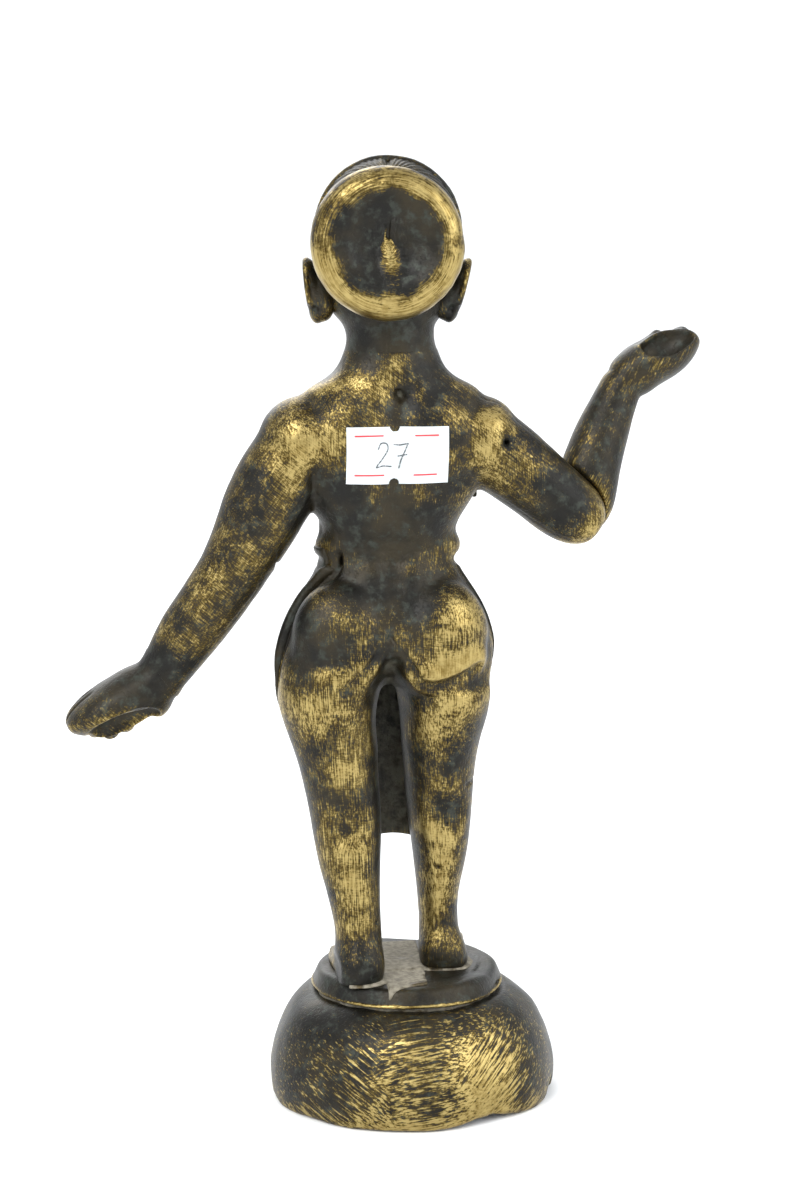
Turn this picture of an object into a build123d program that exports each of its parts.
"""A standing brass figure on a round stepped pedestal, about 203 mm tall, built from separate castings.

Millimetres, +Z up. The origin is the centre of the pedestal's foot, on the surface it stands on.
The figure faces -Y, so its left hand is on the +X side. The left arm hangs out and down, the right
arm is bent up at the elbow. The figure's axis stands a little to its own left of the pedestal's axis.

Limbs, torso and hips are lofts through oval sections. A section is
(x, y, z, half_width, half_depth): half_width is measured across the body, half_depth front to back.
Castings meet on flat joint faces and are held by round pegs in sockets, brazed over.
"""

import os

from build123d import *

# Pedestal: a hollow dome with a thin stepped plate brazed on top.
DOME_RADIUS = 31.0
DOME_HEIGHT = 23.2
DOME_WALL = 3.0
DOME_TOP_RADIUS = 21.6
TIER_RADIUS = 20.9
TIER_TOP_RADIUS = 18.6
TIER_HEIGHT = 4.1
TIER_X = 0.8
STEP_RADIUS = TIER_RADIUS - 3.2
SOLDER_BEAD = 0.7

# Levels of the joint faces.
SOLE_Z = DOME_HEIGHT + SOLDER_BEAD + TIER_HEIGHT
THIGH_Z = 91.0
WAIST_Z = 118.5
NECK_Z = 167.0

# Figure's axis at the hips and the head, and how far the head is turned.
HIP_X = 5.4
HEAD_X = 4.6
HEAD_Y = -1.0
HEAD_TURN = -8.0

# Pegs that key one casting to the next.
PEG_CLEARANCE = 0.05
SMALL_PEG = (1.6, 3.0)
LIMB_PEG = (2.6, 6.0)
BODY_PEG = (5.0, 7.0)
TANG = (2.4, 3.0)
SPIGOT = (8.0, 2.0)

# Cloth is a thin raised layer on the front of the figure.
CLOTH = 1.1

# Price label: the common 21.5 x 12 mm size.
LABEL_WIDTH = 21.5
LABEL_HEIGHT = 12.0
LABEL_THICKNESS = 0.15
LABEL_NOTCH_RADIUS = 1.1
LABEL_X = 4.4
LABEL_Z = 141.8

BIG = 600.0


def across(face_point, direction, half_width, half_depth):
    """Oval section square to direction, its width lying in the XZ plane."""
    side = Vector(0, 1, 0).cross(direction)
    return Plane(origin=face_point, x_dir=side, z_dir=direction) * Ellipse(half_width, half_depth)


def level_loft(sections):
    """Loft through horizontal ovals."""
    return loft([Plane(origin=(x, y, z)) * Ellipse(w, d) for x, y, z, w, d in sections])


def limb(sections):
    """Loft through ovals that stand square to the line of their centres."""
    points = [Vector(*s[:3]) for s in sections]
    last = len(points) - 1
    faces = []
    for i, (point, section) in enumerate(zip(points, sections)):
        direction = (points[min(i + 1, last)] - points[max(i - 1, 0)]).normalized()
        faces.append(across(point, direction, section[3], section[4]))
    return loft(faces)


def half_space(point, direction):
    """A very large block on the side of point that direction points to."""
    plane = Plane(origin=point, z_dir=direction)
    return plane * Box(BIG, BIG, BIG, align=(Align.CENTER, Align.CENTER, Align.MIN))


def rod(point, direction, radius, length):
    """A cylinder that starts at point and runs along direction."""
    plane = Plane(origin=point, z_dir=direction)
    return plane * Cylinder(radius, length, align=(Align.CENTER, Align.CENTER, Align.MIN))


def key(child, parent, point, direction, size):
    """Gives child a peg that runs from point along direction, and parent its socket."""
    radius, length = size
    root = Vector(*point) - Vector(*direction).normalized() * 1.0
    peg = rod(root, direction, radius, length + 1.0)
    socket = rod(point, direction, radius + PEG_CLEARANCE, length + PEG_CLEARANCE)
    return child + peg, parent - socket


# --- pedestal -------------------------------------------------------------------------------


def dome_solid(radius, height, top_radius):
    """The dome's outline: an upright foot, a slight belly, then a long roll in to the top."""
    foot = (radius - 0.2, 0)
    belly = (radius + 0.3, 0.23 * height)
    shoulder = (0.92 * radius, 0.67 * height)
    crest = (top_radius, height)
    side = Spline([foot, belly, shoulder, crest], tangents=[(0.15, 1), (-1.0, 0.55)])
    outline = side + Polyline([crest, (0, height), (0, 0), foot])
    return revolve(Plane.XZ * make_face(outline), Axis.Z)


def pedestal_dome():
    outer = dome_solid(DOME_RADIUS, DOME_HEIGHT, DOME_TOP_RADIUS)
    hollow = dome_solid(DOME_RADIUS - DOME_WALL, DOME_HEIGHT - DOME_WALL, DOME_TOP_RADIUS - DOME_WALL)
    return outer - hollow


def pedestal_tier():
    """Round plate with a sharp, undercut rim that rolls up to a flat top."""
    bottom = DOME_HEIGHT + SOLDER_BEAD
    rim = (TIER_RADIUS, bottom + 0.5)
    shoulder = (TIER_RADIUS - 0.5, bottom + 0.45 * TIER_HEIGHT)
    crest = (TIER_TOP_RADIUS, SOLE_Z)
    step = (STEP_RADIUS, DOME_HEIGHT)
    roll = Spline([rim, shoulder, crest], tangents=[(0, 1), (-1, 0.1)])
    under = Polyline([crest, (0, SOLE_Z), (0, DOME_HEIGHT), step])
    under += Polyline([step, (STEP_RADIUS, bottom), (TIER_RADIUS - 0.8, bottom), rim])
    return Pos(TIER_X, 0, 0) * revolve(Plane.XZ * make_face(roll + under), Axis.Z)


def tier_solder():
    """Bead of solder that fills the step under the plate's rim."""
    ring = Circle(STEP_RADIUS + 2.0) - Circle(STEP_RADIUS)
    return Pos(TIER_X, 0, DOME_HEIGHT) * extrude(ring, amount=SOLDER_BEAD)


# --- legs -----------------------------------------------------------------------------------

LEFT_LEG = [
    (13.4, 8.8, SOLE_Z, 6.4, 6.2),
    (12.5, 8.8, 35.0, 5.1, 5.6),
    (13.0, 8.4, 42.0, 5.2, 5.9),
    (14.4, 6.8, 56.0, 7.0, 7.6),
    (15.6, 5.4, 69.0, 8.0, 8.6),
    (17.2, 4.2, 80.0, 9.4, 10.0),
    (17.6, 3.0, THIGH_Z, 10.9, 12.0),
]
RIGHT_LEG = [
    (-7.6, -0.2, SOLE_Z, 5.6, 6.2),
    (-6.4, 0.0, 35.0, 4.5, 5.6),
    (-6.1, 0.2, 42.0, 4.5, 5.9),
    (-6.4, 0.8, 56.0, 6.3, 7.6),
    (-6.2, 1.2, 69.0, 7.5, 8.6),
    (-6.6, 1.6, 80.0, 8.7, 10.0),
    (-7.0, 2.0, THIGH_Z, 10.5, 12.0),
]
# A foot from heel to toe: (distance forward of the ankle, half_width, height).
FOOT = [(-5.8, 3.6, 5.0), (0.0, 5.2, 8.0), (6.0, 5.4, 6.0), (12.0, 5.9, 3.6), (16.6, 4.8, 2.4)]
LEFT_TOE_OUT = 12.0
RIGHT_TOE_OUT = -12.0


def foot(toe_out):
    """A foot with a flat sole at z = 0 and its ankle at the origin, pointing to -Y."""
    ahead = [Plane(origin=(0, -reach, 0), x_dir=(1, 0, 0), z_dir=(0, -1, 0)) for reach, _, _ in FOOT]
    faces = [plane * Ellipse(half_width, height) for plane, (_, half_width, height) in zip(ahead, FOOT)]
    return Rot(0, 0, toe_out) * (loft(faces) & half_space((0, 0, 0), (0, 0, 1)))


def leg(sections, toe_out):
    """Leg and foot in one casting, cut flat at the sole and at the thigh."""
    ankle_x, ankle_y, sole_z = sections[0][:3]
    return level_loft(sections) + Pos(ankle_x, ankle_y, sole_z) * foot(toe_out)


def foot_solder(sections, toe_out):
    """Thin puddle of solder round one foot, inside the plate's flat top."""
    ankle_x, ankle_y, sole_z = sections[0][:3]
    puddle = Pos(ankle_x, ankle_y) * Rot(0, 0, toe_out) * Pos(0, -5.2) * Ellipse(8.4, 13.6)
    flat = Pos(TIER_X, 0) * Circle(TIER_TOP_RADIUS)
    return Pos(0, 0, sole_z) * extrude(puddle & flat, amount=0.6)


# --- hips and torso -------------------------------------------------------------------------

HIPS = [
    (HIP_X, 2.6, THIGH_Z, 22.5, 12.6),
    (HIP_X, 2.4, 98.0, 22.9, 12.6),
    (HIP_X - 0.2, 2.0, 104.0, 21.9, 12.0),
    (HIP_X - 0.5, 1.4, 110.0, 19.2, 11.0),
    (HIP_X - 0.6, 1.0, 115.0, 16.0, 10.0),
    (HIP_X - 0.6, 0.8, WAIST_Z, 14.4, 9.4),
]
BUTTOCK = (11.0, 8.0, 12.0)
BUTTOCK_CENTRES = [(HIP_X - 10.0, 7.0, 103.0), (HIP_X + 10.0, 7.4, 103.0)]
TORSO = [
    (4.8, 0.8, WAIST_Z, 14.4, 9.4),
    (4.9, 1.0, 124.0, 14.5, 9.4),
    (4.7, 1.4, 131.0, 17.6, 10.4),
    (4.4, 1.6, 139.0, 20.0, 11.2),
    (4.2, 1.8, 147.0, 20.6, 10.8),
    (4.2, 1.6, 152.0, 20.2, 9.8),
    (4.2, 1.2, 156.0, 16.6, 9.0),
    (4.2, 0.7, 159.5, 12.0, 8.4),
    (4.2, 0.3, 163.0, 9.8, 8.2),
    (4.2, 0.0, NECK_Z, 9.4, 8.0),
]


def without_crumbs(shape, smallest=8.0):
    """The shape's solids that are larger than a volume, as one shape."""
    kept = [solid for solid in shape.solids() if solid.volume > smallest]
    return kept[0] if len(kept) == 1 else Compound(kept)


def ellipsoid(centre, radii):
    return Pos(*centre) * scale(Sphere(1.0), by=radii)


def hips():
    body = level_loft(HIPS)
    for centre in BUTTOCK_CENTRES:
        body += ellipsoid(centre, BUTTOCK)
    return body & half_space((0, 0, THIGH_Z), (0, 0, 1))


# --- arms -----------------------------------------------------------------------------------

LEFT_BALL = (23.2, 1.6, 144.2)
RIGHT_BALL = (-14.2, 1.6, 143.8)
BALL_RADIUS = 9.4
LEFT_ARM = [
    (23.2, 1.6, 144.2, 9.2, 8.6),
    (28.2, 1.6, 135.9, 9.2, 8.4),
    (33.4, 1.4, 125.6, 8.5, 7.8),
    (39.4, 1.0, 114.6, 7.2, 6.9),
    (45.2, 0.4, 106.2, 6.9, 6.4),
    (51.0, -0.4, 97.9, 6.0, 5.6),
    (55.0, -1.0, 92.2, 5.6, 5.0),
]
RIGHT_UPPER_ARM = [
    (-14.2, 1.6, 143.8, 9.0, 8.4),
    (-20.4, 1.6, 139.4, 8.4, 8.0),
    (-26.2, 1.4, 134.8, 7.9, 7.4),
    (-32.2, 1.0, 129.8, 7.5, 6.8),
    (-37.2, 0.6, 126.0, 6.4, 6.2),
    (-40.2, 0.2, 123.8, 3.6, 4.2),
]
RIGHT_FOREARM = [
    (-36.4, -2.6, 123.6, 3.6, 3.8),
    (-38.4, -3.2, 128.6, 6.4, 5.8),
    (-40.2, -4.6, 136.0, 6.6, 6.0),
    (-42.9, -6.4, 143.6, 6.0, 5.4),
    (-46.0, -8.0, 150.4, 4.9, 4.6),
    (-48.2, -9.0, 154.6, 4.6, 4.4),
]
LEFT_SHOULDER = ((23.0, 1.6, 142.0), (1.0, 0, -0.10))
RIGHT_SHOULDER = ((-14.6, 1.6, 143.0), (-1.0, 0, -0.10))


def opposite(direction):
    return tuple(-value for value in direction)


# --- hands: a cupped palm with the fingers held together --------------------------------------

LEFT_HAND = [
    (55.0, -1.0, 92.2, 5.6, 5.0),
    (59.4, -1.4, 89.4, 5.6, 6.2),
    (64.6, -1.8, 87.4, 4.6, 7.2),
    (69.4, -2.2, 85.4, 3.0, 6.8),
    (73.4, -2.4, 83.0, 1.4, 4.6),
]
RIGHT_HAND = [
    (-48.2, -9.0, 154.6, 4.6, 4.4),
    (-52.0, -9.8, 158.0, 4.8, 6.2),
    (-56.6, -10.4, 160.6, 4.4, 7.0),
    (-61.2, -11.0, 162.6, 3.0, 6.4),
    (-64.4, -11.4, 163.8, 1.4, 4.4),
]
PALM = (6.6, 4.4, 2.6)
PALM_LIFT = 4.2


def hand(sections, palm_side):
    """Mitten-like hand with an oval hollow in the palm, which faces up (1) or down (-1)."""
    wrist, tip = Vector(*sections[1][:3]), Vector(*sections[-1][:3])
    reach = (tip - wrist).normalized()
    palm_up = Vector(0, 1, 0).cross(reach)
    palm_up = palm_up if palm_up.Z * palm_side > 0 else palm_up * -1
    middle = (wrist + tip) * 0.5 + palm_up * PALM_LIFT
    face = Plane(origin=middle, x_dir=reach, z_dir=palm_up)
    return limb(sections) - face * scale(Sphere(1.0), by=PALM)


# --- head -----------------------------------------------------------------------------------

HEAD = [
    (0, -1.2, NECK_Z, 8.6, 8.0),
    (0, -2.6, 170.0, 10.6, 10.4),
    (0, -1.8, 175.0, 13.2, 13.0),
    (0, -0.8, 182.0, 15.0, 15.0),
    (0, 0, 190.0, 15.2, 15.4),
    (0, 0.2, 196.0, 13.2, 13.8),
    (0, 0.4, 200.6, 8.8, 9.4),
    (0, 0.6, 203.0, 2.6, 3.0),
]
BUN_RADIUS = 15.9
BUN_FRONT = 9.6
BUN_BACK = 18.8
BUN_Z = 185.8
DISH_RADIUS = 9.8
DISH_DEPTH = 2.8
DISH_OFFSET = (-1.0, 1.4)
EAR_TOP_Z = 181.6
EAR_HEIGHT = 13.0
EAR_HALF_DEPTH = 3.6
EAR_HALF_THICKNESS = 1.8
EAR_TILT = 16.0
EAR_X = 16.4
BAND_RADIUS = 15.4
BAND_THICKNESS = 1.2
BAND_WIDTH = 2.2
BAND_Y = 4.8


def in_head(shape):
    """Turns a shape made about the head's own axis into its place on the figure."""
    return Pos(HEAD_X, HEAD_Y, 0) * Rot(0, 0, HEAD_TURN) * shape


def head():
    """Head with a plain nose, cut flat at the back where the bun is brazed on."""
    nose_root = Plane(origin=(0, -11.0, 184.0), x_dir=(1, 0, 0), z_dir=(0, -1, 0)) * Ellipse(2.8, 6.4)
    nose_tip = Plane(origin=(0, -17.2, 181.0), x_dir=(1, 0, 0), z_dir=(0, -1, 0)) * Ellipse(1.6, 1.8)
    solid = level_loft(HEAD) + loft([nose_root, nose_tip])
    return solid & half_space((0, BUN_FRONT, 0), (0, -1, 0))


def bun():
    """Thick disc at the back of the head, rolled at its edge, with a round dish in its face."""
    front = (BUN_RADIUS - 2.4, BUN_FRONT)
    rolled = (BUN_RADIUS - 4.4, BUN_BACK)
    edge = Spline([front, (BUN_RADIUS, BUN_FRONT + 4.4), rolled], tangents=[(1, 0.4), (-1, 0)])
    outline = edge + Polyline([rolled, (0, BUN_BACK), (0, BUN_FRONT), front])
    disc = revolve(Plane.XY * make_face(outline), Axis.Y)
    ball_radius = (DISH_RADIUS**2 + DISH_DEPTH**2) / (2 * DISH_DEPTH)
    dish = Pos(DISH_OFFSET[0], BUN_BACK - DISH_DEPTH + ball_radius, DISH_OFFSET[1]) * Sphere(ball_radius)
    return Pos(0, 0, BUN_Z) * (disc - dish)


def head_band():
    """Half-round fillet that crosses the head from ear to ear just in front of the bun."""
    ring = Circle(BAND_RADIUS + BAND_THICKNESS) - Circle(BAND_RADIUS - 3.0)
    arch = Pos(0, BAND_Y, BUN_Z + 0.6) * extrude(Plane.XZ * ring, amount=-BAND_WIDTH)
    return arch & half_space((0, 0, EAR_TOP_Z + 1.0), (0, 0, 1))


def ear(side):
    """Long ear with a pierced lobe. side is 1 on the figure's left and -1 on its right."""
    outline = Plane.YZ * Ellipse(EAR_HALF_DEPTH, EAR_HEIGHT / 2)
    blade = Pos(0, 0, -EAR_HEIGHT / 2) * extrude(outline, amount=EAR_HALF_THICKNESS, both=True)
    piercing = Pos(0, 0.4, -EAR_HEIGHT + 3.4) * Rot(0, 90, 0) * Cylinder(0.9, 8)
    tilted = Rot(0, side * EAR_TILT, 0) * (blade - piercing)
    return Pos(side * EAR_X, 1.4, EAR_TOP_Z) * tilted


# --- cloth ----------------------------------------------------------------------------------

WRAP_HEM_Z = 62.0
WRAP_EDGE_Y = 1.6
BODICE_BOTTOM_Z = 129.0
BODICE_TOP_Z = 149.0
BUST = (7.0, 6.0, 6.6)
BUST_CENTRES = [(-3.6, -7.6, 139.4), (12.2, -7.6, 139.4)]
BAND_LOW_Z = 115.5
BAND_HIGH_Z = 121.5
BELT = 1.6


def layer(sections, thickness):
    """The lofted casting grown sideways by a thickness."""
    return level_loft([(x, y, z, w + thickness, d + thickness) for x, y, z, w, d in sections])


def slab(low, high, behind):
    """A block between two levels, on the front side of a depth."""
    return Pos(0, behind, low) * Box(BIG, BIG, high - low, align=(Align.CENTER, Align.MAX, Align.MIN))


def centre_pleat():
    """Pleated panel that hangs in front, over the gap between the legs."""
    panel = [
        Plane(origin=(HIP_X, -12.6, 112.0)) * Rectangle(7.0, 3.0),
        Plane(origin=(5.2, -13.0, 90.0)) * Rectangle(10.0, 4.6),
        Plane(origin=(4.6, -11.4, 77.0)) * Rectangle(11.0, 5.6),
        Plane(origin=(2.8, -9.6, 54.0)) * Rectangle(12.0, 5.2),
    ]
    return loft(panel, ruled=True)


def price_label(torso_solid):
    """Small self-adhesive paper tag on the upper back, with a half-round nick in each long edge."""
    outline = Rectangle(LABEL_WIDTH, LABEL_HEIGHT)
    for end in (-1, 1):
        outline -= Pos(0, end * LABEL_HEIGHT / 2) * Circle(LABEL_NOTCH_RADIUS)
    facing_back = Plane(origin=(LABEL_X, 0, LABEL_Z), x_dir=(-1, 0, 0), z_dir=(0, 1, 0))
    punch = extrude(facing_back * outline, amount=30)
    return (layer(TORSO, LABEL_THICKNESS) - torso_solid) & punch


# --- small plugs that close the holes left by the core's supporting pins ----------------------

PLUG_RADIUS = 1.1
PLUG_DEPTH = 4.0
BACK_PLUG = (3.4, 10.6, 154.0)
SHOULDER_PLUG = (-19.2, 9.6, 143.6)


def pin_hole(point):
    return rod((point[0], point[1] + 4.0, point[2]), (0, -1, 0), PLUG_RADIUS, PLUG_DEPTH + 4.0)


# --- assembly -------------------------------------------------------------------------------


def pedestal():
    dome, tier = pedestal_dome(), pedestal_tier()
    tier, dome = key(tier, dome, (TIER_X, 0, DOME_HEIGHT), (0, 0, -1), SPIGOT)
    return {"pedestal_dome": dome, "pedestal_tier": tier, "tier_solder": tier_solder()}


def lower_body(parts):
    """Legs stand on the plate by tangs and carry the hips on pegs."""
    body = hips()
    tier = parts["pedestal_tier"]
    solder = []
    for name, sections, toe_out in (
        ("left_leg", LEFT_LEG, LEFT_TOE_OUT),
        ("right_leg", RIGHT_LEG, RIGHT_TOE_OUT),
    ):
        solid = leg(sections, toe_out)
        solder.append(foot_solder(sections, toe_out) - solid)
        solid, tier = key(solid, tier, sections[0][:3], (0, 0, -1), TANG)
        solid, body = key(solid, body, sections[-1][:3], (0, 0, 1), LIMB_PEG)
        parts[name] = solid
    solder[1] = solder[1] - solder[0] - parts["left_leg"]
    solder[0] = solder[0] - parts["right_leg"]
    parts["foot_solder"] = without_crumbs(Compound([solid for piece in solder for solid in piece.solids()]))
    parts["pedestal_tier"] = tier
    parts["hips"] = body


def upper_body(parts):
    """Torso keyed to the hips, with the arms keyed to flat faces at the shoulders."""
    torso = level_loft(TORSO)
    left = limb(LEFT_ARM) + Pos(*LEFT_BALL) * Sphere(BALL_RADIUS)
    right = limb(RIGHT_UPPER_ARM) + Pos(*RIGHT_BALL) * Sphere(BALL_RADIUS)
    torso += Pos(*LEFT_BALL) * Sphere(BALL_RADIUS)
    torso += Pos(*RIGHT_BALL) * Sphere(BALL_RADIUS)
    label = price_label(torso)
    for point, outward in (LEFT_SHOULDER, RIGHT_SHOULDER):
        torso -= half_space(point, outward)
    left = left & half_space(*LEFT_SHOULDER)
    right = right & half_space(*RIGHT_SHOULDER)
    forearm = limb(RIGHT_FOREARM) - right

    plugs = []
    plugs.append(pin_hole(BACK_PLUG) & torso)
    plugs.append(pin_hole(SHOULDER_PLUG) & right)
    torso -= pin_hole(BACK_PLUG)
    right -= pin_hole(SHOULDER_PLUG)

    left, torso = key(left, torso, LEFT_SHOULDER[0], opposite(LEFT_SHOULDER[1]), LIMB_PEG)
    right, torso = key(right, torso, RIGHT_SHOULDER[0], opposite(RIGHT_SHOULDER[1]), LIMB_PEG)
    torso, parts["hips"] = key(torso, parts["hips"], TORSO[0][:3], (0, 0, -1), BODY_PEG)

    parts["torso"] = torso
    parts["price_label"] = label
    parts["core_plugs"] = Compound([solid for piece in plugs for solid in piece.solids()])
    for hand_name, arm_name, arm, sections, palm_side in (
        ("left_hand", "left_arm", left, LEFT_HAND, -1),
        ("right_hand", "right_forearm", forearm, RIGHT_HAND, 1),
    ):
        wrist, knuckle = Vector(*sections[0][:3]), Vector(*sections[1][:3])
        toward_arm = (wrist - knuckle).normalized()
        seat = half_space(wrist, toward_arm)
        palm = hand(sections, palm_side) - arm
        parts[hand_name], parts[arm_name] = key(palm - seat, arm & seat, wrist, toward_arm, SMALL_PEG)
    parts["right_upper_arm"] = right


def head_parts(parts):
    """Head on a neck peg, with the bun, ears and hair fillet brazed on."""
    skull, knot, band = head(), bun(), head_band()
    knot, skull = key(knot, skull, (0, BUN_FRONT, BUN_Z), (0, -1, 0), LIMB_PEG)
    band = band - skull - knot
    ears = {}
    for name, side in (("left_ear", 1), ("right_ear", -1)):
        blade = ear(side) - skull - knot - band
        ears[name] = max(blade.solids(), key=lambda solid: solid.volume)
    skull = in_head(skull)
    neck = (TORSO[-1][0], TORSO[-1][1], NECK_Z)
    parts["head"], parts["torso"] = key(skull, parts["torso"], neck, (0, 0, -1), BODY_PEG)
    parts["hair_bun"] = in_head(knot)
    parts["head_band"] = in_head(band)
    for name, blade in ears.items():
        parts[name] = in_head(blade)


def cloth_parts(parts):
    """Thin layers on the front: a wrap over hips and thighs, its centre pleat, a belt and a bodice."""
    hips_front = layer(HIPS, CLOTH) & slab(THIGH_Z, WAIST_Z, WRAP_EDGE_Y)
    thighs = [layer(s, CLOTH) & slab(WRAP_HEM_Z, THIGH_Z, WRAP_EDGE_Y) for s in (LEFT_LEG, RIGHT_LEG)]
    wrap = hips_front + thighs[0] + thighs[1]
    belt = layer(HIPS, BELT) & slab(BAND_LOW_Z, WAIST_Z, WRAP_EDGE_Y)
    belt += layer(TORSO, BELT) & slab(WAIST_Z, BAND_HIGH_Z, WRAP_EDGE_Y)
    bodice = layer(TORSO, CLOTH) & slab(BODICE_BOTTOM_Z, BODICE_TOP_Z, -1.0)
    for centre in BUST_CENTRES:
        bodice += ellipsoid(centre, BUST)
    pleat = centre_pleat()
    bare = ["hips", "left_leg", "right_leg", "torso", "left_arm", "right_upper_arm"]
    for name in bare:
        belt -= parts[name]
        bodice -= parts[name]
        wrap -= parts[name]
        pleat -= parts[name]
    wrap -= belt
    pleat = pleat - belt - wrap
    parts["waist_band"] = without_crumbs(belt)
    parts["chest_cloth"] = without_crumbs(bodice)
    parts["hip_wrap"] = without_crumbs(wrap)
    parts["center_pleat"] = without_crumbs(pleat)


def build():
    """Returns every sub-part by its name."""
    parts = pedestal()
    lower_body(parts)
    upper_body(parts)
    head_parts(parts)
    cloth_parts(parts)
    return parts


def main():
    os.makedirs("parts", exist_ok=True)
    for name, shape in build().items():
        export_step(shape, f"parts/{name}.step")
        print(name, "solids", len(shape.solids()), "volume", round(shape.volume))


if __name__ == "__main__":
    main()
